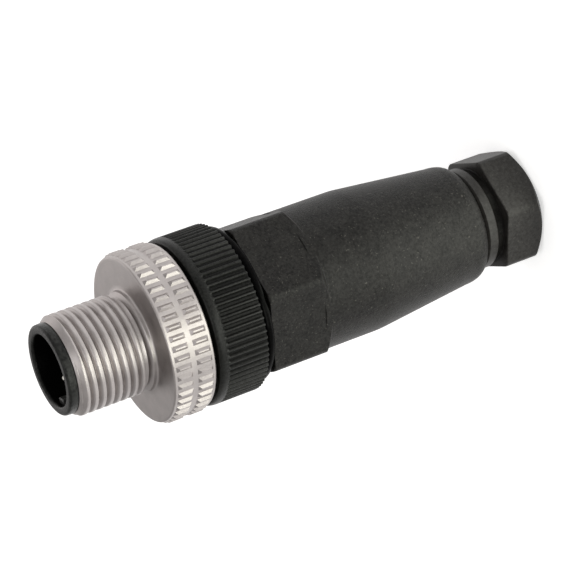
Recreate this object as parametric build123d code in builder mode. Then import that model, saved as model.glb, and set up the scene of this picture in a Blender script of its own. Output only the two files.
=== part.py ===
from build123d import *
import math
import os

# A field-wired M12 connector, male, four poles, standing on its gland screw.
# Millimetres, +Z along the connector's axis towards the mating rim, origin at the middle of the rear face.
# Screw threads are plain at their crest radius.

# Clearances
run_gap = 0.05  # radial, between pieces that turn or slide on each other
fit_gap = 0.03  # radial, between pieces that are pushed together
seat_gap = 0.02  # axial, between pieces that bear on each other

# Lengths along the axis, from the rear face up to the mating rim
gland_head_length = 5.3
gland_open_length = 2.95
housing_length = 30.25
ring_seal_space = 1.42
ribbed_ring_length = 6.18
sleeve_gap = 0.45
flange_length = 5.3
sleeve_nose_length = 9.55
lip_length = 1.08

# Grip, shared by the coupling sleeve's flange and the ribbed ring
grip_radius = 10.18
ring_step = 0.1

# Coupling sleeve
thread_crest_radius = 5.97
thread_length = 7.3
thread_lead_length = 0.7
thread_lead_depth = 0.37
undercut_length = 0.7
undercut_depth = 0.62
collar_slope_length = 0.35
collar_root_fillet = 0.2
sleeve_bore_radius = 5.05
sleeve_pocket_radius = 7.6
sleeve_pocket_depth = 3.0
flange_edge_width = 0.25
flange_edge_length = 0.15
flange_rear_chamfer = 0.15

# Knurl of the coupling sleeve, two rows of hipped bars
bar_count = 52
bar_length = 1.92  # at the foot
bar_width = 0.69  # at the foot
bar_height = 0.3
bar_taper = 42.0
bar_root_depth = 0.05
bar_row_stations = (1.36, 3.93)
bar_start_angle = -92.7

# Socket shroud
lip_radius = 5.3
lip_rounding = 0.35
mouth_radius = 4.3
mouth_chamfer = 0.2
shroud_bore_radius = 4.25
socket_depth = 8.7
key_width = 1.3
key_height = 0.62
key_recess = 0.7

# Ribbed ring
ring_front_width = 0.4
ring_front_length = 0.9
rib_count = 80
rib_length = 5.15
rib_groove_depth = 0.26
rib_groove_top = 0.52
rib_groove_floor = 0.24
rib_start_angle = -93.25
ring_thread_radius = 7.5
ring_thread_length = 6.0
ring_thread_chamfer = 0.4
ring_rear_bore_radius = 6.5
ring_shoulder_depth = 2.1
hub_run_gap = 0.15
sleeve_play = 0.05

# Contacts and terminals
pole_count = 4
pole_circle_radius = 3.5
pole_start_angle = 28.0
pin_radius = 0.5
pin_recess = 2.2
stem_radius = 0.9
stem_recess = 1.0
barrel_radius = 1.6
barrel_length = 8.0
wire_bore_radius = 0.95
wire_bore_depth = 5.0
barrel_recess = 0.5
screw_height = 3.1
screw_radius = 1.0
screw_length = 1.86
screw_slot_width = 0.3
screw_slot_depth = 0.5
screw_access_radius = 1.35
guard_width = 0.9
guard_length = 3.6
guard_thickness = 0.14
guard_rise = 0.66
carrier_rear_length = 16.1

# Housing
housing_across_flats = 17.0
housing_corner_radius = 9.7
housing_hex_length = 7.0
housing_hex_runout = 0.8
housing_round_radius = 8.63
housing_round_length = 8.7
housing_taper_radius = 7.32
housing_tail_length = 1.9
housing_tail_radius = 6.67
housing_edge_chamfer = 0.15
housing_thread_depth = 6.0
chamber_radius = 7.0
throat_radius = 3.6
throat_cone_length = 1.8
throat_length = 0.6
seal_seat_radius = 5.5
seal_seat_length = 5.4
housing_gland_depth = 6.2

# O-ring between the ribbed ring and the housing
o_ring_section_radius = 0.68
o_ring_outer_radius = 9.45

# Cable gland
gland_across_flats = 13.0
gland_corner_radius = 7.38
gland_turn = -3.8  # degrees from the housing's flats
gland_rear_radius = 6.0
gland_rear_chamfer = 1.0
gland_front_chamfer = 0.12
gland_thread_radius = 6.22
gland_shank_chamfer = 0.4
gland_relief_length = 0.8
gland_relief_depth = 0.45
gland_bore_radius = 3.25
gland_mouth_chamfer = 0.8
washer_radius = 6.0
washer_bore_radius = 3.5
washer_thickness = 0.6
cage_length = 2.6
cage_bore_radius = 3.5
cage_slot_count = 8
cage_slot_width = 0.5
cage_slot_depth = 1.8
cage_chamfer = 0.6
seal_length = 5.0
seal_bore_radius = 3.1
seal_chamfer = 0.7

# Levels up the axis
gland_head_top = gland_head_length
housing_bottom = gland_head_top + gland_open_length
housing_top = housing_bottom + housing_length
ring_bottom = housing_top + ring_seal_space
ring_top = ring_bottom + ribbed_ring_length
flange_bottom = ring_top + sleeve_gap
flange_top = flange_bottom + flange_length
sleeve_top = flange_top + sleeve_nose_length
lip_bottom = sleeve_top + sleeve_play
rim_top = lip_bottom + lip_length
socket_floor = rim_top - socket_depth
hub_top = flange_bottom + sleeve_pocket_depth - sleeve_play
carrier_shoulder = ring_top - ring_shoulder_depth
shroud_bottom = carrier_shoulder
ring_thread_bottom = ring_bottom - ring_thread_length
carrier_bottom = carrier_shoulder - carrier_rear_length
barrel_bottom = carrier_bottom + barrel_recess
barrel_top = barrel_bottom + barrel_length
stem_top = carrier_shoulder - stem_recess
screw_level = carrier_bottom + screw_height
gland_thread_top = housing_bottom + housing_gland_depth
seal_seat_top = gland_thread_top + seal_seat_length
throat_top = seal_seat_top + throat_length
chamber_bottom = throat_top + throat_cone_length
chamber_top = housing_top - housing_thread_depth
seal_top = seal_seat_top - seat_gap
seal_bottom = seal_top - seal_length
cage_top = seal_bottom - seat_gap
cage_bottom = cage_top - cage_length
washer_top = cage_bottom - seat_gap
washer_bottom = washer_top - washer_thickness

# Radii that follow their neighbours
flange_radius = grip_radius - bar_height
flange_edge_radius = flange_radius - flange_edge_width
ring_radius = grip_radius - ring_step
ring_front_radius = ring_radius - ring_front_width
thread_lead_radius = thread_crest_radius - thread_lead_depth
shroud_radius = sleeve_bore_radius - run_gap
hub_radius = sleeve_pocket_radius - hub_run_gap
hub_bore_radius = shroud_radius + fit_gap
plug_radius = shroud_bore_radius - fit_gap
carrier_radius = ring_rear_bore_radius - fit_gap
housing_thread_radius = ring_thread_radius + run_gap
housing_gland_radius = gland_thread_radius + run_gap
cage_radius = seal_seat_radius - run_gap
seal_radius = seal_seat_radius - run_gap
pole_angles = [pole_start_angle + 360.0 / pole_count * number for number in range(pole_count)]
key_angle = pole_start_angle + 360.0 / pole_count * 1.5

os.makedirs("parts", exist_ok=True)


def radial_plane(angle, radius, level):
    """Plane whose normal points out from the axis at an angle in degrees."""
    turn = math.radians(angle)
    outward = Vector(math.cos(turn), math.sin(turn), 0)
    return Plane(
        origin=outward * radius + Vector(0, 0, level),
        x_dir=Vector(0, 0, 1),
        z_dir=outward,
    )


def half_section(points):
    """Closed face of (radius, level) points in the plane that holds the axis."""
    with BuildSketch(Plane.XZ) as section:
        with BuildLine():
            Polyline(*points, close=True)
        make_face()
    return section.sketch


def export(part, label):
    """Labels a finished piece and writes it."""
    part.label = label
    export_step(part, f"parts/{label}.step")


# Coupling sleeve: threaded nose, undercut, collar and knurled flange in one turned piece
thread_top = sleeve_top - thread_lead_length
thread_bottom = thread_top - thread_length
undercut_bottom = thread_bottom - undercut_length
undercut_radius = thread_crest_radius - undercut_depth

with BuildPart() as coupling_sleeve:
    with BuildSketch(Plane.XZ):
        with BuildLine():
            Polyline(
                (sleeve_bore_radius, flange_bottom + sleeve_pocket_depth),
                (sleeve_bore_radius, sleeve_top),
                (thread_lead_radius, sleeve_top),
                (thread_crest_radius, thread_top),
                (thread_crest_radius, thread_bottom),
                (undercut_radius, thread_bottom),
                (undercut_radius, undercut_bottom),
                (thread_crest_radius, undercut_bottom - collar_slope_length),
                (thread_crest_radius, flange_top + collar_root_fillet),
            )
            RadiusArc(
                (thread_crest_radius, flange_top + collar_root_fillet),
                (thread_crest_radius + collar_root_fillet, flange_top),
                collar_root_fillet,
            )
            Polyline(
                (thread_crest_radius + collar_root_fillet, flange_top),
                (flange_edge_radius, flange_top),
                (flange_radius, flange_top - flange_edge_length),
                (flange_radius, flange_bottom + flange_rear_chamfer),
                (flange_radius - flange_rear_chamfer, flange_bottom),
                (sleeve_pocket_radius, flange_bottom),
                (sleeve_pocket_radius, flange_bottom + sleeve_pocket_depth),
                (sleeve_bore_radius, flange_bottom + sleeve_pocket_depth),
            )
        make_face()
    revolve(axis=Axis.Z)

bar_root_spread = 2 * bar_root_depth * math.tan(math.radians(bar_taper))
bars = []
for station in bar_row_stations:
    with BuildPart() as bar:
        with BuildSketch(radial_plane(bar_start_angle, flange_radius - bar_root_depth, flange_top - station)):
            Rectangle(bar_length + bar_root_spread, bar_width + bar_root_spread)
        extrude(amount=bar_root_depth + bar_height, taper=bar_taper)
    bars.append(bar.part)

with coupling_sleeve:
    with PolarLocations(0, bar_count):
        add(bars)

export(coupling_sleeve.part, "coupling_sleeve")

# Socket shroud: the black tube with the rounded lip, its bore and the coding key
with BuildPart() as socket_shroud:
    with BuildSketch(Plane.XZ):
        with BuildLine():
            Polyline(
                (shroud_bore_radius, shroud_bottom),
                (shroud_radius, shroud_bottom),
                (shroud_radius, lip_bottom),
                (lip_radius, lip_bottom),
                (lip_radius, rim_top - lip_rounding),
            )
            RadiusArc(
                (lip_radius, rim_top - lip_rounding),
                (lip_radius - lip_rounding, rim_top),
                -lip_rounding,
            )
            Polyline(
                (lip_radius - lip_rounding, rim_top),
                (mouth_radius + mouth_chamfer, rim_top),
                (mouth_radius, rim_top - mouth_chamfer),
                (shroud_bore_radius, rim_top - 2 * mouth_chamfer),
                (shroud_bore_radius, shroud_bottom),
            )
        make_face()
    revolve(axis=Axis.Z)
    with BuildSketch(Plane.XY.offset(socket_floor).rotated((0, 0, key_angle))):
        with Locations((shroud_bore_radius + fit_gap, 0)):
            Rectangle(2 * (key_height + fit_gap), key_width)
        Circle(shroud_bore_radius + fit_gap, mode=Mode.INTERSECT)
    extrude(amount=socket_depth - key_recess)

export(socket_shroud.part, "socket_shroud")

# Ribbed ring: knurled grip, hub for the coupling sleeve and threaded spigot for the housing
with BuildPart() as ribbed_ring:
    revolve(
        half_section([
            (ring_rear_bore_radius, ring_thread_bottom),
            (ring_thread_radius - ring_thread_chamfer, ring_thread_bottom),
            (ring_thread_radius, ring_thread_bottom + ring_thread_chamfer),
            (ring_thread_radius, ring_bottom),
            (ring_radius - rib_groove_depth, ring_bottom),
            (ring_radius - rib_groove_depth, ring_bottom + rib_length),
            (ring_radius, ring_bottom + rib_length),
            (ring_radius, ring_top - ring_front_length),
            (ring_front_radius, ring_top),
            (hub_radius, ring_top),
            (hub_radius, hub_top),
            (hub_bore_radius, hub_top),
            (hub_bore_radius, carrier_shoulder),
            (ring_rear_bore_radius, carrier_shoulder),
        ]),
        axis=Axis.Z,
    )
    with BuildSketch(Plane.XY.offset(ring_bottom)):
        Circle(ring_radius)
        Circle(ring_radius - 2 * rib_groove_depth, mode=Mode.SUBTRACT)
        with PolarLocations(ring_radius, rib_count, start_angle=rib_start_angle):
            Polygon(
                (-rib_groove_depth, -rib_groove_floor / 2),
                (-rib_groove_depth, rib_groove_floor / 2),
                (rib_groove_depth, rib_groove_top - rib_groove_floor / 2),
                (rib_groove_depth, rib_groove_floor / 2 - rib_groove_top),
                align=None,
                mode=Mode.SUBTRACT,
            )
    extrude(amount=rib_length)

export(ribbed_ring.part, "ribbed_ring")

# Contact carrier: plug behind the socket, wide terminal block, bores for the contacts and their screws
with BuildPart() as contact_carrier:
    revolve(
        half_section([
            (0, carrier_bottom),
            (carrier_radius, carrier_bottom),
            (carrier_radius, carrier_shoulder - seat_gap),
            (plug_radius, carrier_shoulder - seat_gap),
            (plug_radius, socket_floor),
            (0, socket_floor),
        ]),
        axis=Axis.Z,
    )
    with PolarLocations(pole_circle_radius, pole_count, start_angle=pole_start_angle):
        with Locations((0, 0, carrier_bottom)):
            Cylinder(
                barrel_radius + fit_gap,
                barrel_top + seat_gap - carrier_bottom,
                align=(Align.CENTER, Align.CENTER, Align.MIN),
                mode=Mode.SUBTRACT,
            )
            Cylinder(
                stem_radius + fit_gap,
                stem_top + seat_gap - carrier_bottom,
                align=(Align.CENTER, Align.CENTER, Align.MIN),
                mode=Mode.SUBTRACT,
            )
            Cylinder(
                pin_radius + fit_gap,
                socket_floor - carrier_bottom,
                align=(Align.CENTER, Align.CENTER, Align.MIN),
                mode=Mode.SUBTRACT,
            )
    for angle in pole_angles:
        with BuildSketch(radial_plane(angle, pole_circle_radius, screw_level)):
            Circle(screw_access_radius)
        extrude(amount=carrier_radius, mode=Mode.SUBTRACT)

export(contact_carrier.part, "contact_carrier")

# Contacts: turned pins with a stem and a clamp barrel, each with its clamp screw and wire guard
guard_top_radius = pole_circle_radius + guard_rise + guard_thickness
screw_tip_radius = guard_top_radius + seat_gap

for number, angle in enumerate(pole_angles, start=1):
    turn = math.radians(angle)
    pole_x = pole_circle_radius * math.cos(turn)
    pole_y = pole_circle_radius * math.sin(turn)
    pin_top = rim_top - pin_recess
    with BuildPart() as contact_pin:
        with BuildSketch(Plane.XZ.offset(-pole_y)):
            with BuildLine():
                Polyline(
                    (pole_x, barrel_bottom),
                    (pole_x + barrel_radius, barrel_bottom),
                    (pole_x + barrel_radius, barrel_top),
                    (pole_x + stem_radius, barrel_top),
                    (pole_x + stem_radius, stem_top),
                    (pole_x + pin_radius, stem_top),
                    (pole_x + pin_radius, pin_top - pin_radius),
                )
                RadiusArc(
                    (pole_x + pin_radius, pin_top - pin_radius),
                    (pole_x, pin_top),
                    -pin_radius,
                )
                Line((pole_x, pin_top), (pole_x, barrel_bottom))
            make_face()
        revolve(axis=Axis((pole_x, pole_y, 0), (0, 0, 1)))
        with BuildSketch(Plane((pole_x, pole_y, barrel_bottom))):
            Circle(wire_bore_radius)
        extrude(amount=wire_bore_depth, mode=Mode.SUBTRACT)
        with BuildSketch(radial_plane(angle, pole_circle_radius, screw_level)):
            Circle(screw_radius + run_gap)
        extrude(amount=2 * barrel_radius, mode=Mode.SUBTRACT)
    export(contact_pin.part, f"contact_pin_{number}")

    with BuildPart() as terminal_screw:
        with BuildSketch(radial_plane(angle, screw_tip_radius, screw_level)):
            Circle(screw_radius)
        extrude(amount=screw_length)
        chamfer(terminal_screw.edges().filter_by(GeomType.CIRCLE), length=screw_radius * 0.15)
        with BuildSketch(radial_plane(angle, screw_tip_radius + screw_length, screw_level)):
            Rectangle(screw_slot_width, 2 * screw_radius)
        extrude(amount=-screw_slot_depth, mode=Mode.SUBTRACT)
    export(terminal_screw.part, f"terminal_screw_{number}")

    with BuildPart() as wire_guard:
        with BuildSketch(radial_plane(angle, pole_circle_radius + guard_rise, screw_level)):
            Rectangle(guard_length, guard_width)
        extrude(amount=guard_thickness)
    export(wire_guard.part, f"wire_guard_{number}")

# O-ring between the ribbed ring and the housing
with BuildPart() as housing_o_ring:
    with BuildSketch(Plane.XZ):
        with Locations((o_ring_outer_radius - o_ring_section_radius, housing_top + ring_seal_space / 2)):
            Circle(o_ring_section_radius)
    revolve(axis=Axis.Z)

export(housing_o_ring.part, "housing_o_ring")

# Housing: hexagon with turned corners, round barrel, taper and rounded tail, bored from both ends
hex_bottom = housing_top - housing_hex_length
runout_bottom = hex_bottom - housing_hex_runout
taper_top = hex_bottom - housing_round_length
tail_top = housing_bottom + housing_tail_length

with BuildPart() as housing:
    with BuildSketch(Plane.XY.offset(runout_bottom)):
        RegularPolygon(housing_across_flats / 2, 6, major_radius=False, rotation=30)
    extrude(amount=housing_top - runout_bottom)
    with BuildSketch(Plane.XZ):
        with BuildLine():
            Polyline(
                (0, runout_bottom),
                (housing_round_radius, runout_bottom),
                (housing_corner_radius, hex_bottom),
                (housing_corner_radius, housing_top - housing_edge_chamfer),
                (housing_corner_radius - 2 * housing_edge_chamfer, housing_top),
                (0, housing_top),
                close=True,
            )
        make_face()
    revolve(axis=Axis.Z, mode=Mode.INTERSECT)
    with BuildSketch(Plane.XZ):
        with BuildLine():
            Polyline(
                (0, hex_bottom),
                (housing_round_radius, hex_bottom),
                (housing_round_radius, taper_top),
                (housing_taper_radius, tail_top),
            )
            EllipticalCenterArc(
                (housing_tail_radius, tail_top),
                housing_taper_radius - housing_tail_radius,
                housing_tail_length,
                start_angle=270,
                arc_size=90,
            )
            Polyline((housing_tail_radius, housing_bottom), (0, housing_bottom), (0, hex_bottom))
        make_face()
    revolve(axis=Axis.Z)
    with BuildSketch(Plane.XZ):
        with BuildLine():
            Polyline(
                (0, housing_bottom),
                (housing_gland_radius, housing_bottom),
                (housing_gland_radius, gland_thread_top),
                (seal_seat_radius, gland_thread_top),
                (seal_seat_radius, seal_seat_top),
                (throat_radius, seal_seat_top),
                (throat_radius, throat_top),
                (chamber_radius, chamber_bottom),
                (chamber_radius, chamber_top),
                (housing_thread_radius, chamber_top),
                (housing_thread_radius, housing_top),
                (0, housing_top),
                close=True,
            )
        make_face()
    revolve(axis=Axis.Z, mode=Mode.SUBTRACT)

export(housing.part, "housing")

# Cable seal: rubber sleeve with a coned front
with BuildPart() as cable_seal:
    revolve(
        half_section([
            (seal_bore_radius, seal_bottom),
            (seal_radius, seal_bottom),
            (seal_radius, seal_top - seal_chamfer),
            (seal_radius - seal_chamfer, seal_top),
            (seal_bore_radius, seal_top),
        ]),
        axis=Axis.Z,
    )

export(cable_seal.part, "cable_seal")

# Clamping cage: ring with fingers towards the seal
with BuildPart() as clamping_cage:
    revolve(
        half_section([
            (cage_bore_radius, cage_bottom),
            (cage_radius, cage_bottom),
            (cage_radius, cage_top - cage_chamfer),
            (cage_radius - cage_chamfer, cage_top),
            (cage_bore_radius, cage_top),
        ]),
        axis=Axis.Z,
    )
    with BuildSketch(Plane.XY.offset(cage_top)):
        with PolarLocations(cage_radius, cage_slot_count):
            Rectangle(2 * cage_radius, cage_slot_width)
    extrude(amount=-cage_slot_depth, mode=Mode.SUBTRACT)

export(clamping_cage.part, "clamping_cage")

# Thrust washer between the cage and the gland screw
with BuildPart() as thrust_washer:
    with BuildSketch(Plane.XY.offset(washer_bottom)):
        Circle(washer_radius)
        Circle(washer_bore_radius, mode=Mode.SUBTRACT)
    extrude(amount=washer_thickness)

export(thrust_washer.part, "thrust_washer")

# Gland screw: hexagon head with turned corners, relief and threaded shank
shank_top = washer_bottom - seat_gap
relief_top = gland_head_top + gland_relief_length
relief_radius = gland_thread_radius - gland_relief_depth

with BuildPart() as gland_screw:
    with BuildSketch(Plane.XY):
        RegularPolygon(gland_across_flats / 2, 6, major_radius=False, rotation=30 + gland_turn)
    extrude(amount=gland_head_top)
    with BuildSketch(Plane.XZ):
        with BuildLine():
            Polyline(
                (0, 0),
                (gland_rear_radius, 0),
                (gland_corner_radius, gland_rear_chamfer),
                (gland_corner_radius, gland_head_top - gland_front_chamfer),
                (gland_corner_radius - gland_front_chamfer, gland_head_top),
                (0, gland_head_top),
                close=True,
            )
        make_face()
    revolve(axis=Axis.Z, mode=Mode.INTERSECT)
    revolve(
        half_section([
            (0, gland_head_top),
            (relief_radius, gland_head_top),
            (relief_radius, relief_top),
            (gland_thread_radius, relief_top),
            (gland_thread_radius, shank_top - gland_shank_chamfer),
            (gland_thread_radius - gland_shank_chamfer, shank_top),
            (0, shank_top),
        ]),
        axis=Axis.Z,
    )
    with BuildSketch(Plane.XZ):
        with BuildLine():
            Polyline(
                (0, 0),
                (gland_bore_radius + gland_mouth_chamfer, 0),
                (gland_bore_radius, gland_mouth_chamfer),
                (gland_bore_radius, shank_top),
                (0, shank_top),
                close=True,
            )
        make_face()
    revolve(axis=Axis.Z, mode=Mode.SUBTRACT)

export(gland_screw.part, "gland_screw")
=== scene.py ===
import math

import bmesh
import bpy
import numpy as np
from mathutils import Matrix, Vector


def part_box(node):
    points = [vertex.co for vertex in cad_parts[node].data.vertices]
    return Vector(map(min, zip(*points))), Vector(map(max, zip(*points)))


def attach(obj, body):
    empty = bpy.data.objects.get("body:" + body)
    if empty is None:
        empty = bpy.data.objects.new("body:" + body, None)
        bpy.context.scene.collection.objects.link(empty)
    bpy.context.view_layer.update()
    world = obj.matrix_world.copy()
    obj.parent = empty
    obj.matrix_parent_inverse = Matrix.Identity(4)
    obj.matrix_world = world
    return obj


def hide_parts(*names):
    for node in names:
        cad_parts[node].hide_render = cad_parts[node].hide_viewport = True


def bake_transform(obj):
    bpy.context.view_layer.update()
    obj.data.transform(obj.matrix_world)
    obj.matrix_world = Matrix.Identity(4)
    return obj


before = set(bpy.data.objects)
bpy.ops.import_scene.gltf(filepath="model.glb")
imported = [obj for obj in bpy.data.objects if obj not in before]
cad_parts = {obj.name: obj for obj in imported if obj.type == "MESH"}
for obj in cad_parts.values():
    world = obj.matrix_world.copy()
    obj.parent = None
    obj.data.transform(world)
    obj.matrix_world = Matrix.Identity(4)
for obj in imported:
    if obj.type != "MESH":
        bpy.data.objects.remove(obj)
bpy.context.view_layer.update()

MM = 0.001


def span(node):
    """Lowest level, highest level and outer radius of a solid, in millimetres."""
    low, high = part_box(node)
    return round(low.z / MM, 3), round(high.z / MM, 3), round(high.x / MM, 3)


# Lengths are in millimetres, turns in degrees. Levels are counted up the axis, and the mating end is up.
# Where a solid ends is read from the frame, and other levels are counted from there.

# Gland screw
_, GLAND_TOP, _ = span("gland_screw")
HEAD_TOP = 5.3
GLAND_FLATS = 13.0
GLAND_CORNER = 7.38
GLAND_REAR = 6.0
GLAND_TURN = -3.8
GLAND_NECK = 5.77
GLAND_CREST = 6.22
GLAND_DEPTH = 0.62
GLAND_PITCH = 1.27
GLAND_BORE = 3.25

# Housing
HOUSING_BOTTOM, HOUSING_TOP, _ = span("housing")
HEX_BOTTOM = HOUSING_TOP - 7.0
HEX_FLATS = 17.0
HEX_CORNER = 9.7
HEX_ROUNDING = 0.25
BARREL_RADIUS = 8.63
TAPER_TOP = HEX_BOTTOM - 8.7
TAPER_RADIUS = 7.32
TAIL_LENGTH = 1.9
TAIL_TOP = HOUSING_BOTTOM + TAIL_LENGTH
TAIL_RADIUS = 6.67
SEAL_SEAT = HOUSING_BOTTOM + 11.6
CAGE_SEAT = SEAL_SEAT - 5.4

# Ribbed ring
SPIGOT_BOTTOM, HUB_TOP, RING_RADIUS = span("ribbed_ring")
RING_BOTTOM = SPIGOT_BOTTOM + 6.0
RING_TOP = RING_BOTTOM + 6.18
RIBS = 80
RIB_START = -93.25
RIB_COLUMNS = (-0.3, -0.14, 0.14, 0.3, 0.394)
GROOVE_REACH = 0.2
SHOULDER_REACH = 0.35
GROOVE_DEPTH = 0.26
SPIGOT_CREST = 7.5
SPIGOT_DEPTH = 0.5
SPIGOT_PITCH = 1.0
SPIGOT_SEAT = 7.05
HUB_RADIUS = 7.45
HUB_BORE = 5.03

# Coupling sleeve
FLANGE_BOTTOM, SLEEVE_TOP, _ = span("coupling_sleeve")
FLANGE_TOP = FLANGE_BOTTOM + 5.3
GRIP_RADIUS = 10.18
FLANGE_RADIUS = GRIP_RADIUS - 0.3
POCKET_TOP = FLANGE_BOTTOM + 3.0
POCKET_RADIUS = 7.6
SLEEVE_BORE = 5.05
BARS = 52
BAR_START = -92.7
BAR_COLUMNS = (-0.345, -0.08, 0.08, 0.345, 0.471, 0.597, 0.723)
BAR_CENTRES = (FLANGE_TOP - 3.93, FLANGE_TOP - 1.36)
BAR_HALF = 0.96
BAR_HIP = 0.33
NOSE_CREST = 5.97
NOSE_DEPTH = 0.38
NOSE_PITCH = 1.0
NOSE_TOP = SLEEVE_TOP - 0.03
MOUTH_RADIUS = 5.44
MOUTH_SLOPE = 0.75

# Socket shroud and its coding key
SHROUD_BOTTOM, RIM_TOP, _ = span("socket_shroud")
SHROUD_RADIUS = 5.0
SHROUD_BORE = 4.25
LIP_BOTTOM = SLEEVE_TOP + 0.05
LIP_ROUNDING = 0.35
KEY_TURN = 163.0
KEY_CENTRE = 4.3
KEY_HALF = 0.62

# Cable seal
SEAL_BOTTOM, SEAL_TOP, SEAL_RADIUS = span("cable_seal")
SEAL_BORE = 3.1
SEAL_CHAMFER = 0.7

# Thread profile over one pitch: share of the pitch, share of the depth
THREAD_SHAPE = [
    (0.0, 0.05), (0.08, 0.01), (0.2, 0.0), (0.34, 0.01), (0.46, 0.07), (0.55, 0.28),
    (0.63, 0.62), (0.7, 0.92), (0.74, 1.0), (0.78, 0.92), (0.85, 0.62), (0.93, 0.26),
]


# Meshes

def smooth_min(a, b, k):
    """Smaller of two values, blended over a width k."""
    h = np.clip(0.5 + 0.5 * (b - a) / k, 0.0, 1.0)
    return b * (1.0 - h) + a * h - k * h * (1.0 - h)


def smooth_max(a, b, k):
    """Larger of two values, blended over a width k."""
    return -smooth_min(-a, -b, k)


def ring_mesh(name, radii, levels, angles, wrap=None, hips=None):
    """Closed mesh whose rows run round the axis.

    radii and levels are rows by columns, and the last row joins the first. wrap gives the row that
    each row meets where the columns close. hips gives the quads that fold along a diagonal.
    """
    rows, cols = radii.shape
    wrap = np.arange(rows) if wrap is None else wrap
    hips = hips or {}
    points = np.stack(
        [radii * np.cos(angles), radii * np.sin(angles), levels], axis=-1
    ).reshape(-1, 3) * MM
    faces = []
    for i in range(rows):
        j = (i + 1) % rows
        for k in range(cols):
            last = k == cols - 1
            a = i * cols + k
            d = j * cols + k
            b = wrap[i] * cols if last else a + 1
            c = wrap[j] * cols if last else d + 1
            fold = hips.get((i, k))
            if fold == "ac":
                faces += [(a, b, c), (a, c, d)]
            elif fold == "bd":
                faces += [(a, b, d), (b, c, d)]
            else:
                faces.append((a, b, c, d))
    mesh = bpy.data.meshes.new(name)
    mesh.from_pydata([tuple(p) for p in points], [], faces)
    return tidy(name, mesh)


def tidy(name, mesh, sharp=32.0):
    """Merges doubled points, turns the faces outwards and makes the object.

    Edges that turn by more degrees than sharp stay crisp.
    """
    bm = bmesh.new()
    bm.from_mesh(mesh)
    bmesh.ops.remove_doubles(bm, verts=bm.verts, dist=1e-7)
    bmesh.ops.dissolve_degenerate(bm, edges=bm.edges, dist=1e-8)
    bmesh.ops.recalc_face_normals(bm, faces=bm.faces)
    bm.to_mesh(mesh)
    bm.free()
    mesh.shade_smooth()
    mesh.set_sharp_from_angle(angle=math.radians(sharp))
    piece = bpy.data.objects.new(name, mesh)
    bpy.context.scene.collection.objects.link(piece)
    return piece


def plain_rows(points, cols):
    """Rows of constant radius and level, from (radius, level) pairs."""
    data = np.array(points, float)
    return np.repeat(data[:, 0:1], cols, 1), np.repeat(data[:, 1:2], cols, 1)


def thread_rows(bottom, top, crest, depth, pitch, angles, limit):
    """Rows that follow a right-hand helix between two levels.

    limit gives the largest radius at a level.
    """
    share = np.array([s[0] for s in THREAD_SHAPE])
    cut = np.array([s[1] for s in THREAD_SHAPE])
    turns = int(math.ceil((top - bottom) / pitch)) + 2
    along = np.concatenate([(share + t) * pitch for t in range(-1, turns)])
    dip = np.tile(cut, turns + 1)
    lift = pitch * (angles % (2 * math.pi)) / (2 * math.pi)
    levels = bottom + along[:, None] + lift[None, :]
    radii = np.repeat((crest - depth * dip)[:, None], len(angles), 1)
    for k in range(len(angles)):
        for edge in (bottom, top):
            at_edge = np.interp(edge, levels[:, k], radii[:, k])
            beyond = levels[:, k] < edge if edge == bottom else levels[:, k] > edge
            radii[beyond, k] = at_edge
            levels[beyond, k] = edge
    return np.minimum(radii, limit(levels)), levels, len(THREAD_SHAPE)


def stack(*parts):
    """Joins row sets, and works out how their rows close round the axis.

    A thread's third value is the number of rows that it climbs in one turn.
    """
    radii, levels, wrap = [], [], []
    start = 0
    for part in parts:
        count = part[0].shape[0]
        shift = part[2] if len(part) > 2 else 0
        rows = np.arange(start, start + count)
        wrap.append(np.minimum(rows + shift, start + count - 1))
        radii.append(part[0])
        levels.append(part[1])
        start += count
    return np.concatenate(radii), np.concatenate(levels), np.concatenate(wrap)


def quarter(count):
    """Angles of a quarter turn, for a rounded edge."""
    return np.radians(np.linspace(0, 90, count))


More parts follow.
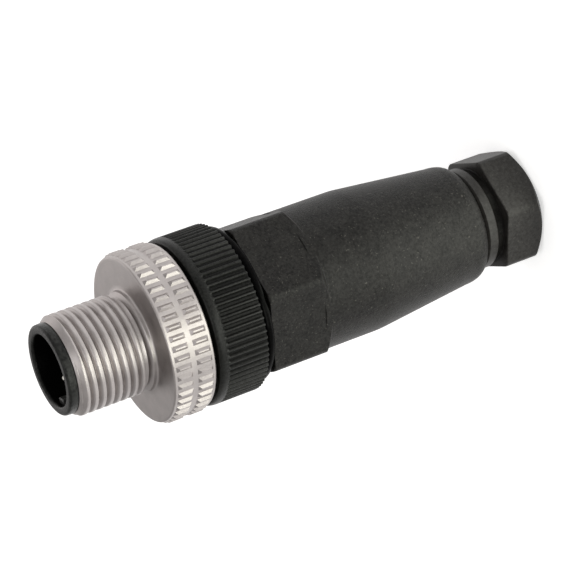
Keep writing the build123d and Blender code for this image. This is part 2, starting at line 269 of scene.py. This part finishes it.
def coupling_sleeve():
    """Threaded nose, undercut, collar and knurled flange."""
    start = math.radians(BAR_START)
    offsets = np.array(BAR_COLUMNS) / FLANGE_RADIUS
    angles = np.concatenate([start + 2 * math.pi * n / BARS + offsets for n in range(BARS)])
    turn = (angles - start) % (2 * math.pi)
    order = np.argsort(turn)
    angles = start + turn[order]
    member = np.tile(np.arange(len(offsets)), BARS)[order]
    cols = len(angles)

    rear = plain_rows([
        (SLEEVE_BORE, POCKET_TOP), (POCKET_RADIUS, POCKET_TOP), (POCKET_RADIUS, FLANGE_BOTTOM),
        (FLANGE_RADIUS - 0.15, FLANGE_BOTTOM),
    ], cols)

    # The first row is the flange's edge. Each bar then has four: foot, ridge, ridge, foot.
    knurl_levels = [FLANGE_BOTTOM + 0.15]
    for centre in BAR_CENTRES:
        knurl_levels += [centre - BAR_HALF, centre - BAR_HALF + BAR_HIP,
                         centre + BAR_HALF - BAR_HIP, centre + BAR_HALF]
    knurl_levels = np.array(knurl_levels)
    knurl_radii = np.full((len(knurl_levels), cols), FLANGE_RADIUS)
    ridge = (member == 1) | (member == 2)
    for row in (2, 3, 6, 7):
        knurl_radii[row, ridge] = GRIP_RADIUS
    knurl = knurl_radii, np.repeat(knurl_levels[:, None], cols, 1)

    face = plain_rows(
        [(FLANGE_RADIUS - 0.2 + 0.2 * math.cos(a), FLANGE_TOP - 0.18 + 0.18 * math.sin(a))
         for a in quarter(6)]
        + [(FLANGE_RADIUS - 0.4, FLANGE_TOP), (6.6, FLANGE_TOP)], cols)
    collar = plain_rows([(radius, FLANGE_TOP + height) for radius, height in (
        (6.17, 0.0), (6.07, 0.03), (6.0, 0.1), (NOSE_CREST, 0.2), (NOSE_CREST, 0.35), (5.95, 0.48),
        (5.86, 0.58), (5.5, 0.79), (5.38, 0.87), (5.34, 0.97), (5.34, 1.35), (5.35, 1.45))], cols)

    def chamfer(level):
        return MOUTH_RADIUS + (NOSE_TOP - level) * MOUTH_SLOPE

    nose = thread_rows(FLANGE_TOP + 1.55, NOSE_TOP, NOSE_CREST, NOSE_DEPTH, NOSE_PITCH, angles - start, chamfer)
    mouth = plain_rows([
        (MOUTH_RADIUS - 0.02, SLEEVE_TOP - 0.01), (MOUTH_RADIUS - 0.05, SLEEVE_TOP),
        (SLEEVE_BORE + 0.05, SLEEVE_TOP), (SLEEVE_BORE, SLEEVE_TOP - 0.05),
    ], cols)
    radii, levels, wrap = stack(rear, knurl, face, collar, nose, mouth)

    # The corners of each bar fold from its ridge's end down to its foot
    hips = {}
    for foot in (len(rear[0]) + 1, len(rear[0]) + 5):
        for k in range(cols):
            if member[k] == 0:
                hips[(foot, k)] = "ac"
                hips[(foot + 2, k)] = "bd"
            if member[k] == 2:
                hips[(foot, k)] = "bd"
                hips[(foot + 2, k)] = "ac"
    return ring_mesh("coupling_sleeve_dressed", radii, levels, angles, wrap, hips)


def ribbed_ring():
    """Ribbed grip with its hub and threaded spigot."""
    start = math.radians(RIB_START)
    period = 2 * math.pi * RING_RADIUS / RIBS
    offsets = np.array(RIB_COLUMNS)
    along = np.sort(np.concatenate([n * period + offsets for n in range(RIBS)]) % (RIBS * period))
    angles = start + along / RING_RADIUS
    member = along % period
    groove = (member < GROOVE_REACH) | (member > period - GROOVE_REACH)
    shoulder = ~groove & ((member < SHOULDER_REACH) | (member > period - SHOULDER_REACH))
    cols = len(angles)

    def chamfer(level):
        return 7.1 + np.minimum(level - SPIGOT_BOTTOM, 1.0)

    bottom = plain_rows([(6.5, SPIGOT_BOTTOM), (7.0, SPIGOT_BOTTOM)], cols)
    spigot = thread_rows(SPIGOT_BOTTOM, RING_BOTTOM - 1.0, SPIGOT_CREST, SPIGOT_DEPTH, SPIGOT_PITCH,
                         angles - start, chamfer)
    seat = plain_rows([(SPIGOT_SEAT, RING_BOTTOM - 0.95), (SPIGOT_SEAT, RING_BOTTOM), (9.5, RING_BOTTOM)], cols)
    rib_levels = RING_BOTTOM + np.array([0.0, 0.08, 4.92, 5.15])
    rib_radii = np.full((len(rib_levels), cols), RING_RADIUS)
    rib_radii[:, shoulder] -= 0.03
    rib_radii[0, :] -= 0.05
    rib_radii[:3, groove] = RING_RADIUS - GROOVE_DEPTH
    ribs_band = rib_radii, np.repeat(rib_levels[:, None], cols, 1)
    nosing = plain_rows(
        [(RING_RADIUS - 0.4 + 0.4 * math.cos(a), RING_TOP - 0.9 + 0.9 * math.sin(a)) for a in quarter(8)], cols)
    front = plain_rows([
        (9.5, RING_TOP), (HUB_RADIUS, RING_TOP), (HUB_RADIUS, HUB_TOP), (HUB_BORE, HUB_TOP),
        (HUB_BORE, RING_TOP - 2.1), (6.5, RING_TOP - 2.1),
    ], cols)
    radii, levels, wrap = stack(bottom, spigot, seat, ribs_band, nosing, front)
    return ring_mesh("ribbed_ring_dressed", radii, levels, angles, wrap)


def hexagon(angles, flats, turn=0.0):
    """Radius of a hexagon at each angle. One flat faces +X, turned by turn degrees."""
    step = math.radians(60)
    off = (angles - math.radians(turn) + step / 2) % step - step / 2
    return flats / 2 / np.cos(off)


def hexagon_angles(spacing, near_corner):
    """Angles round a hexagon, closer together by its corners."""
    half = np.concatenate([np.arange(0, near_corner, spacing), np.linspace(near_corner, 30, 9)[:-1]])
    side = np.unique(np.concatenate([half, 60 - half[1:]]))
    return np.radians(np.concatenate([side[side < 60] + 60 * n for n in range(6)]))


def housing():
    """Hexagon with turned corners that runs into a round, tapered barrel."""
    angles = hexagon_angles(1.3, 24.0)
    cols = len(angles)
    hexa = hexagon(angles, HEX_FLATS)[None, :]
    levels = np.unique(np.round(np.concatenate([
        [HOUSING_BOTTOM],
        HOUSING_BOTTOM + TAIL_LENGTH * (1 - np.cos(np.radians(np.linspace(9, 90, 10)))),
        np.arange(TAIL_TOP + 0.4, TAPER_TOP, 0.9),
        np.arange(TAPER_TOP, HEX_BOTTOM - 1.1, 0.7),
        np.arange(HEX_BOTTOM - 1.1, HEX_BOTTOM + 0.2, 0.06),
        np.arange(HEX_BOTTOM + 0.3, HOUSING_TOP - 0.3, 0.7),
        HOUSING_TOP - np.array([0.25, 0.18, 0.12, 0.07, 0.03]),
    ]), 4))

    tail = TAIL_RADIUS + (TAPER_RADIUS - TAIL_RADIUS) * np.sqrt(
        np.clip(1 - ((TAIL_TOP - levels) / TAIL_LENGTH) ** 2, 0, 1))
    cone = TAPER_RADIUS + (BARREL_RADIUS - TAPER_RADIUS) * (levels - TAIL_TOP) / (TAPER_TOP - TAIL_TOP)
    barrel = smooth_min(cone, np.full_like(levels, BARREL_RADIUS), 0.05)
    barrel = np.where(levels < TAIL_TOP, tail, barrel)[:, None]

    # Turned envelope of the hexagon: a cone below it, its corners' circle, and a rounded top edge
    below = (HEX_BOTTOM - levels) * (HEX_CORNER - BARREL_RADIUS) / 0.8
    turned = HEX_CORNER - 0.06 - np.clip(below, 0, 3.0)
    edge = np.clip((levels - HOUSING_TOP + HEX_ROUNDING) / HEX_ROUNDING, 0, 0.999)
    turned = (turned - 0.3 * (1 - np.sqrt(1 - edge ** 2)))[:, None]
    prism = smooth_min(hexa, turned, 0.12)

    # The barrel's surface fades out of the blend above the hexagon's lower end
    fade = np.clip((levels - HEX_BOTTOM + 0.02) / 0.08, 0, 1)[:, None]
    outer = np.where(levels[:, None] < HEX_BOTTOM - 1.0, np.repeat(barrel, cols, 1),
                     smooth_max(prism, barrel - 0.6 * fade, 0.06))
    outer = np.maximum(outer, np.minimum(barrel, prism))
    outside = outer, np.repeat(levels[:, None], cols, 1)

    top_radii = np.concatenate([np.minimum(hexa, HEX_CORNER) - 0.22, np.full((1, cols), 8.0)])
    top = top_radii, np.full((2, cols), HOUSING_TOP)
    inside = plain_rows([
        (7.62, HOUSING_TOP), (7.55, HOUSING_TOP - 0.07), (7.55, HOUSING_TOP - 6.0),
        (7.0, HOUSING_TOP - 6.0), (7.0, SEAL_SEAT + 2.4), (3.6, SEAL_SEAT + 0.6), (3.6, SEAL_SEAT),
        (5.5, SEAL_SEAT), (5.5, CAGE_SEAT), (6.27, CAGE_SEAT), (6.27, HOUSING_BOTTOM + 0.12),
        (6.42, HOUSING_BOTTOM),
    ], cols)
    radii, rows, wrap = stack(outside, top, inside)
    return ring_mesh("housing_dressed", radii, rows, angles, wrap)


def gland_screw():
    """Hexagon head with a relief, a plain band and a threaded shank."""
    angles = hexagon_angles(2.0, 23.0) + math.radians(GLAND_TURN)
    cols = len(angles)
    hexa = hexagon(angles, GLAND_FLATS, GLAND_TURN)[None, :]
    levels = np.concatenate([
        [0.0, 0.03, 0.08], np.arange(0.14, 1.25, 0.07), np.linspace(1.4, 5.0, 6),
        HEAD_TOP - np.array([0.2, 0.13, 0.08, 0.04, 0.015, 0.0]),
    ])

    # A cone over the first millimetre, then the corners' circle and a rounded upper edge
    cone = GLAND_REAR + np.clip(levels, 0, 1) * (GLAND_CORNER - GLAND_REAR)
    turned = smooth_min(cone, np.full_like(levels, GLAND_CORNER), 0.1)
    turned = turned - 0.06 * np.clip(1 - levels / 0.08, 0, 1)
    edge = np.clip((levels - HEAD_TOP + 0.2) / 0.2, 0, 1)
    bevel = 0.16 * (1 - np.sqrt(np.clip(1 - edge ** 2, 0, 1)))
    prism = smooth_min(hexa - 0.6 * bevel[:, None], (turned - bevel - 0.02)[:, None], 0.1)
    head = prism, np.repeat(levels[:, None], cols, 1)

    neck = plain_rows([(radius, HEAD_TOP + height) for radius, height in (
        (5.85, 0.0), (GLAND_NECK, 0.06), (GLAND_NECK, 0.9), (5.8, 0.95), (6.16, 1.08),
        (GLAND_CREST, 1.16), (GLAND_CREST, 2.2), (6.18, 2.26), (5.7, 2.62))], cols)

    def chamfer(level):
        return np.minimum(5.6 + (level - HEAD_TOP - 2.65) * 1.6, 5.82 + (GLAND_TOP - level) * 1.0)

    shank = thread_rows(HEAD_TOP + 2.68, GLAND_TOP, GLAND_CREST, GLAND_DEPTH, GLAND_PITCH,
                        angles - angles[0], chamfer)
    bore = plain_rows([
        (5.5, GLAND_TOP), (GLAND_BORE + 0.05, GLAND_TOP), (GLAND_BORE, GLAND_TOP - 0.05),
        (GLAND_BORE, 0.85), (GLAND_BORE + 0.05, 0.75), (4.0, 0.04), (4.06, 0.0),
    ], cols)
    radii, rows, wrap = stack(head, neck, shank, bore)
    return ring_mesh("gland_screw_dressed", radii, rows, angles, wrap)


def socket_shroud():
    """Tube with a rounded lip and its mouth."""
    cols = 240
    angles = np.linspace(0, 2 * math.pi, cols, endpoint=False)
    foot = [
        (SHROUD_BORE, SHROUD_BOTTOM), (SHROUD_RADIUS, SHROUD_BOTTOM), (SHROUD_RADIUS, LIP_BOTTOM),
        (5.3, LIP_BOTTOM), (5.36, LIP_BOTTOM + 0.03), (5.38, LIP_BOTTOM + 0.09), (5.38, LIP_BOTTOM + 0.4),
    ]
    lip = [(5.36 - LIP_ROUNDING * (1 - math.cos(a)), RIM_TOP - LIP_ROUNDING * (1 - math.sin(a)))
           for a in quarter(8)]
    mouth = [(radius, RIM_TOP - depth) for radius, depth in (
        (4.5, 0.0), (4.44, 0.01), (4.36, 0.07), (4.31, 0.14), (4.29, 0.24), (SHROUD_BORE, 0.4))]
    radii, levels = plain_rows(foot + lip + mouth, cols)
    return ring_mesh("socket_shroud_dressed", radii, levels, angles)


def cable_seal():
    """Rubber sleeve with a coned front, in enough rows to shorten evenly."""
    cols = 96
    angles = np.linspace(0, 2 * math.pi, cols, endpoint=False)
    front = SEAL_TOP - SEAL_CHAMFER
    points = [(SEAL_RADIUS, level) for level in np.linspace(SEAL_BOTTOM, front, 13)]
    points.append((SEAL_RADIUS - SEAL_CHAMFER, SEAL_TOP))
    points += [(SEAL_BORE, level) for level in np.linspace(SEAL_TOP, SEAL_BOTTOM, 14)]
    radii, levels = plain_rows(points, cols)
    return ring_mesh("cable_seal_dressed", radii, levels, angles)


def coding_key():
    """Rounded rib down the bore of the shroud."""
    turn = math.radians(KEY_TURN)
    profile = []
    for x, y in ((4.4, -KEY_HALF), (3.74, -KEY_HALF), (3.66, -0.58), (3.62, -0.48), (3.6, 0.0),
                 (3.62, 0.48), (3.66, 0.58), (3.74, KEY_HALF), (4.4, KEY_HALF)):
        profile.append((x * math.cos(turn) - y * math.sin(turn), x * math.sin(turn) + y * math.cos(turn)))
    centre = np.array([KEY_CENTRE * math.cos(turn), KEY_CENTRE * math.sin(turn)])
    bm = bmesh.new()
    rows = []
    # Depth below the rim, and the share of the profile's size
    for depth, share in ((8.7, 1.0), (0.85, 1.0), (0.76, 0.97), (0.71, 0.9), (0.7, 0.8)):
        row = []
        for corner in profile:
            x, y = centre + (np.array(corner) - centre) * share
            row.append(bm.verts.new((x * MM, y * MM, (RIM_TOP - depth) * MM)))
        rows.append(row)
    count = len(profile)
    for lower, upper in zip(rows, rows[1:]):
        for k in range(count):
            n = (k + 1) % count
            bm.faces.new((lower[k], lower[n], upper[n], upper[k]))
    bm.faces.new(rows[0])
    bm.faces.new(rows[-1])
    mesh = bpy.data.meshes.new("coding_key")
    bm.to_mesh(mesh)
    bm.free()
    return tidy("coding_key", mesh, sharp=50.0)


# Materials

SHADER_SOCKETS = {
    "base": "Base Color", "metallic": "Metallic", "roughness": "Roughness", "normal": "Normal",
    "specular": "Specular IOR Level", "glow": "Emission Color", "glow_strength": "Emission Strength",
}


class Nodes:
    """Short way to add nodes to a material."""

    def __init__(self, name):
        self.material = bpy.data.materials.new(name)
        self.material.use_nodes = True
        self.tree = self.material.node_tree
        self.tree.nodes.clear()
        output = self.tree.nodes.new("ShaderNodeOutputMaterial")
        self.shader = self.tree.nodes.new("ShaderNodeBsdfPrincipled")
        self.tree.links.new(self.shader.outputs[0], output.inputs["Surface"])
        self.coordinates = self.tree.nodes.new("ShaderNodeTexCoord").outputs["Object"]

    def feed(self, socket, value):
        """Links a socket to another one, or sets its value."""
        if isinstance(value, bpy.types.NodeSocket):
            self.tree.links.new(value, socket)
        else:
            socket.default_value = value

    def node(self, kind, values, **properties):
        made = self.tree.nodes.new(kind)
        for key, value in properties.items():
            setattr(made, key, value)
        for key, value in values.items():
            self.feed(made.inputs[key], value)
        return made

    def shade(self, **values):
        """Feeds the shader's sockets, by their short names."""
        for key, value in values.items():
            self.feed(self.shader.inputs[SHADER_SOCKETS[key]], value)

    def math(self, operation, a, b=0.0):
        return self.node("ShaderNodeMath", {0: a, 1: b}, operation=operation).outputs[0]

    def noise(self, scale, detail=3.0, rough=0.5, vector=None):
        """Noise whose scale is features for each millimetre."""
        return self.node("ShaderNodeTexNoise", {
            "Vector": vector or self.coordinates, "Scale": scale / MM, "Detail": detail, "Roughness": rough,
        }).outputs["Fac"]

    def spread(self, value, low, high, out_low=0.0, out_high=1.0):
        return self.node("ShaderNodeMapRange", {
            "Value": value, "From Min": low, "From Max": high, "To Min": out_low, "To Max": out_high,
        }, clamp=True).outputs[0]

    def blend(self, share, a, b):
        """Mixes two colours, each given as a socket or as red, green and blue."""
        a, b = [value if isinstance(value, bpy.types.NodeSocket) else (*value, 1) for value in (a, b)]
        return self.node("ShaderNodeMix", {0: share, 6: a, 7: b}, data_type="RGBA").outputs[2]

    def bump(self, height, distance, normal=None):
        values = {"Height": height, "Distance": distance * MM}
        if normal is not None:
            values["Normal"] = normal
        return self.node("ShaderNodeBump", values).outputs[0]

    def around(self):
        """Coordinates that stay the same round the axis: radius and level."""
        parts = self.node("ShaderNodeSeparateXYZ", {0: self.coordinates})
        x, y, z = parts.outputs[0], parts.outputs[1], parts.outputs[2]
        radius = self.math("SQRT", self.math("ADD", self.math("MULTIPLY", x, x), self.math("MULTIPLY", y, y)))
        return self.node("ShaderNodeCombineXYZ", {0: radius, 1: 0.0, 2: z}).outputs[0]


# Near black that is painted where shade falls in recesses
PAINTED_SHADE_BLACK = (0.0012, 0.0012, 0.0012)
SPECK_GAIN = 4.0


def plastic(name, dark, light, rough, grain=3.0, depth=0.012, speck=0.5, shine=0.45, painted_shade=None):
    """Moulded black plastic with a spark-eroded grain.

    grain is its features for each millimetre, depth its height and speck the strength of its light dots.
    The painted shade gives two radii and two levels: inside the smaller radius and below the lower
    level the colour is painted near black and the gloss is turned down, as painted shade in a recess.
    """
    n = Nodes(name)
    cloud = n.noise(0.5, 4.0, 0.6)
    fine = n.noise(grain, 5.0, 0.75)
    mixed = n.math("ADD", n.math("MULTIPLY", cloud, 0.35), n.math("MULTIPLY", fine, 0.65))
    tone = n.blend(n.spread(mixed, 0.4, 0.6), dark, light)
    dots = n.spread(n.noise(grain * 1.3, 2.0, 0.5), 0.66, 0.72)
    tone = n.blend(n.math("MULTIPLY", dots, speck), tone, tuple(value * SPECK_GAIN for value in light))
    gloss = n.spread(fine, 0.35, 0.65, shine * 0.7, shine * 1.3)
    # Painted shade: deep in a recess the colour is blended to near black and the gloss turned down.
    if painted_shade is not None:
        outer, inner, high, low = painted_shade
        parts = n.node("ShaderNodeSeparateXYZ", {0: n.around()})
        inside = n.math("MULTIPLY", n.spread(parts.outputs[0], outer * MM, inner * MM),
                        n.spread(parts.outputs[2], high * MM, low * MM))
        tone = n.blend(inside, tone, PAINTED_SHADE_BLACK)
        gloss = n.math("MULTIPLY", gloss, n.spread(inside, 0.0, 1.0, 1.0, 0.1))
    n.shade(base=tone, specular=gloss, roughness=n.spread(fine, 0.3, 0.7, rough - 0.06, rough + 0.06),
            normal=n.bump(fine, depth))
    return n.material


def nickel():
    """Satin nickel plate with fine turning lines and small unevenness."""
    n = Nodes("nickel_satin")
    cloud = n.noise(0.5, 4.0, 0.6)
    fine = n.noise(4.0, 3.0, 0.6)
    lines = n.noise(9.0, 3.0, 0.7, vector=n.around())
    tone = n.blend(n.spread(cloud, 0.35, 0.65), (0.37, 0.343, 0.335), (0.44, 0.41, 0.40))
    tone = n.blend(n.math("MULTIPLY", n.spread(lines, 0.55, 0.75), 0.3), tone, (0.33, 0.305, 0.29))
    n.shade(base=tone, metallic=1.0, roughness=n.spread(cloud, 0.3, 0.7, 0.35, 0.44),
            normal=n.bump(fine, 0.01, normal=n.bump(lines, 0.006)))
    return n.material


def metal(name, dark, light, rough):
    """Plated metal, plain but for a slight unevenness."""
    n = Nodes(name)
    cloud = n.noise(1.2, 3.0, 0.6)
    n.shade(base=n.blend(n.spread(cloud, 0.35, 0.65), dark, light), metallic=1.0,
            roughness=n.spread(cloud, 0.3, 0.7, rough, rough + 0.1), normal=n.bump(n.noise(12.0, 2.0), 0.002))
    return n.material


def dress(piece, material):
    """Gives a piece one material."""
    piece.data.materials.clear()
    piece.data.materials.append(material)


housing_plastic = plastic("housing_plastic", (0.003, 0.0028, 0.0024), (0.0125, 0.0118, 0.0104), rough=0.44,
                          grain=3.0, depth=0.06, speck=1.0, shine=0.18)
# Painted shade in the relief by the head, in the thread's roots and down the bore
gland_plastic = plastic("gland_plastic", (0.0105, 0.0096, 0.0085), (0.0175, 0.0162, 0.0145), rough=0.42,
                        grain=2.5, depth=0.02, speck=0.3, shine=0.24, painted_shade=(6.1, 5.6, 99.0, 98.0))
# Painted shade deep in the rib grooves and on the surfaces inside the ribs
ring_plastic = plastic("ring_plastic", (0.0034, 0.0037, 0.003), (0.008, 0.0084, 0.007), rough=0.38,
                       grain=4.0, depth=0.02, speck=0.2, shine=0.2,
                       painted_shade=(RING_RADIUS - 0.1, RING_RADIUS - 0.42, RING_TOP - 1.0, RING_TOP - 1.2))
# Painted shade down the bore of the shroud, below its mouth
shroud_plastic = plastic("shroud_plastic", (0.002, 0.0022, 0.0019), (0.0125, 0.0132, 0.0115), rough=0.32,
                         grain=2.0, depth=0.05, speck=0.3, shine=0.22,
                         painted_shade=(4.44, 4.34, RIM_TOP - 0.1, RIM_TOP - 0.4))
carrier_plastic = plastic("carrier_plastic", (0.004, 0.004, 0.004), (0.005, 0.005, 0.005), rough=0.45,
                          grain=5.0, depth=0.004, speck=0.1, shine=0.1)
# The coding key gets a lighter copy of the black plastic: a painted highlight that stands for the light on its
# end
key_plastic_painted_highlight = plastic("key_plastic_painted_highlight", (0.014, 0.014, 0.0135), (0.026, 0.026, 0.025), rough=0.4,
                      grain=2.0, depth=0.05, speck=0.3, shine=0.7)
rubber = plastic("seal_rubber", (0.0006, 0.0006, 0.0006), (0.001, 0.001, 0.001), rough=0.22,
                 grain=4.0, depth=0.002, speck=0.0, shine=0.03)
sleeve_metal = nickel()
gold = metal("contact_gold", (0.96, 0.93, 0.84), (0.99, 0.97, 0.9), rough=0.12)
zinc = metal("zinc_steel", (0.52, 0.52, 0.51), (0.62, 0.62, 0.61), rough=0.3)


# Pieces

for build, node, body, material, slot in (
    (coupling_sleeve, "coupling_sleeve", "coupling", sleeve_metal, "nickel_plate"),
    (ribbed_ring, "ribbed_ring", "insert", ring_plastic, "housing_plastic"),
    (housing, "housing", "housing", housing_plastic, "housing_plastic"),
    (gland_screw, "gland_screw", "gland_screw", gland_plastic, "housing_plastic"),
    (socket_shroud, "socket_shroud", "insert", shroud_plastic, "housing_plastic"),
):
    piece = build()
    dress(piece, material)
    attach(piece, body)
    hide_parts(node)

key = coding_key()
dress(key, key_plastic_painted_highlight)
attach(key, "insert")

# The seal shortens between the housing's shoulder and the cage
seal = cable_seal()
dress(seal, rubber)
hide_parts("cable_seal")
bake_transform(seal)

# The solids that stay as they come
dress(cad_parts["housing_o_ring"], rubber)
for node in ("contact_carrier", "clamping_cage", "thrust_washer"):
    dress(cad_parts[node], carrier_plastic)
for number in range(1, 5):
    dress(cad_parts[f"contact_pin_{number}"], gold)
    dress(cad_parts[f"terminal_screw_{number}"], zinc)
    dress(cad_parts[f"wire_guard_{number}"], zinc)


# Floor, light and camera. Lengths are in metres from here on.

FLOOR_HALF = 3.0


def floor():
    """White paper under the part."""
    mesh = bpy.data.meshes.new("floor")
    corners = [(-1, -1), (1, -1), (1, 1), (-1, 1)]
    mesh.from_pydata([(x * FLOOR_HALF, y * FLOOR_HALF, 0) for x, y in corners], [], [(0, 1, 2, 3)])
    sheet = bpy.data.objects.new("floor", mesh)
    bpy.context.scene.collection.objects.link(sheet)
    n = Nodes("floor_paper")
    tone = n.blend(n.spread(n.noise(0.02, 2.0), 0.4, 0.6), (0.93, 0.93, 0.93), (0.95, 0.95, 0.95))
    n.shade(base=tone, roughness=0.8, specular=0.1, glow=(1, 1, 1, 1), glow_strength=0.5)
    sheet.data.materials.append(n.material)


def softbox(name, place, target, size, energy, colour=(1, 1, 1)):
    """Rectangular light that shines at a target. The camera doesn't see it."""
    light = bpy.data.lights.new(name, "AREA")
    light.shape = "RECTANGLE"
    light.size, light.size_y = size
    light.energy = energy
    light.color = colour
    box = bpy.data.objects.new(name, light)
    box.location = place
    box.rotation_euler = (Vector(target) - Vector(place)).to_track_quat("-Z", "Y").to_euler()
    box.visible_camera = False
    bpy.context.scene.collection.objects.link(box)


# The photograph's viewing direction: right and back across and out of the picture
RIGHT = Vector((-0.3067, -0.4009, -0.8632)).normalized()
BACK = Vector((0.0829, -0.9148, 0.3954)).normalized()
UP = BACK.cross(RIGHT).normalized()
RIGHT = UP.cross(BACK).normalized()
MIDDLE = Vector((0.0, 0.0, 0.035))


def towards(right, up, back, distance):
    """Place at a distance from the object's middle, by the picture's own directions."""
    return MIDDLE + (RIGHT * right + UP * up + BACK * back).normalized() * distance


floor()
softbox("key_light", towards(-0.4, 0.8, 0.35, 0.55), MIDDLE, (0.3, 0.3), 0.2)
softbox("flash_light", towards(0.55, -0.35, 0.85, 0.5), MIDDLE, (0.3, 0.3), 1.3, (0.97, 1.0, 0.92))
# The part's sides mirror these two, which lie low in front of it
softbox("low_panel", (-0.0304, -0.0995, 0.017), (0.0, 0.0, 0.045), (0.09, 0.03), 0.011, (0.96, 1.0, 0.82))
softbox("low_strip", (-0.007, -0.06, 0.001), (-0.007, -0.06, 1.0), (0.034, 0.1), 0.027, (0.98, 1.0, 0.9))
# The flange's face mirrors this one
softbox("back_panel", (0.24, 0.42, 0.26), MIDDLE, (0.6, 0.35), 0.52, (1.0, 0.96, 0.95))
softbox("top_light", (-0.01, -0.3, 0.56), MIDDLE, (0.25, 0.35), 0.45)

# The sky gets a little lighter with its height
world = bpy.data.worlds.new("studio")
world.use_nodes = True
nodes, links = world.node_tree.nodes, world.node_tree.links
backdrop = nodes["Background"]
backdrop.inputs[0].default_value = (1.0, 0.98, 0.97, 1)
direction = nodes.new("ShaderNodeTexCoord")
height = nodes.new("ShaderNodeSeparateXYZ")
fading = nodes.new("ShaderNodeMapRange")
for name, value in (("From Min", 0.0), ("From Max", 0.8), ("To Min", 0.46), ("To Max", 0.55)):
    fading.inputs[name].default_value = value
links.new(direction.outputs["Generated"], height.inputs[0])
links.new(height.outputs[2], fading.inputs["Value"])
links.new(fading.outputs[0], backdrop.inputs[1])
bpy.context.scene.world = world

camera = bpy.data.objects.new("camera", bpy.data.cameras.new("camera"))
camera.data.sensor_width = 36.0
camera.data.lens = 167.5
camera.data.clip_start = 0.01
camera.data.clip_end = 20.0
station = Vector((0.025503, -0.281223, 0.153551))
camera.matrix_world = Matrix.Translation(station) @ Matrix((RIGHT, UP, BACK)).transposed().to_4x4()
bpy.context.scene.collection.objects.link(camera)
bpy.context.scene.camera = camera
bpy.context.scene.view_settings.view_transform = "Standard"
bpy.context.scene.view_settings.look = "None"
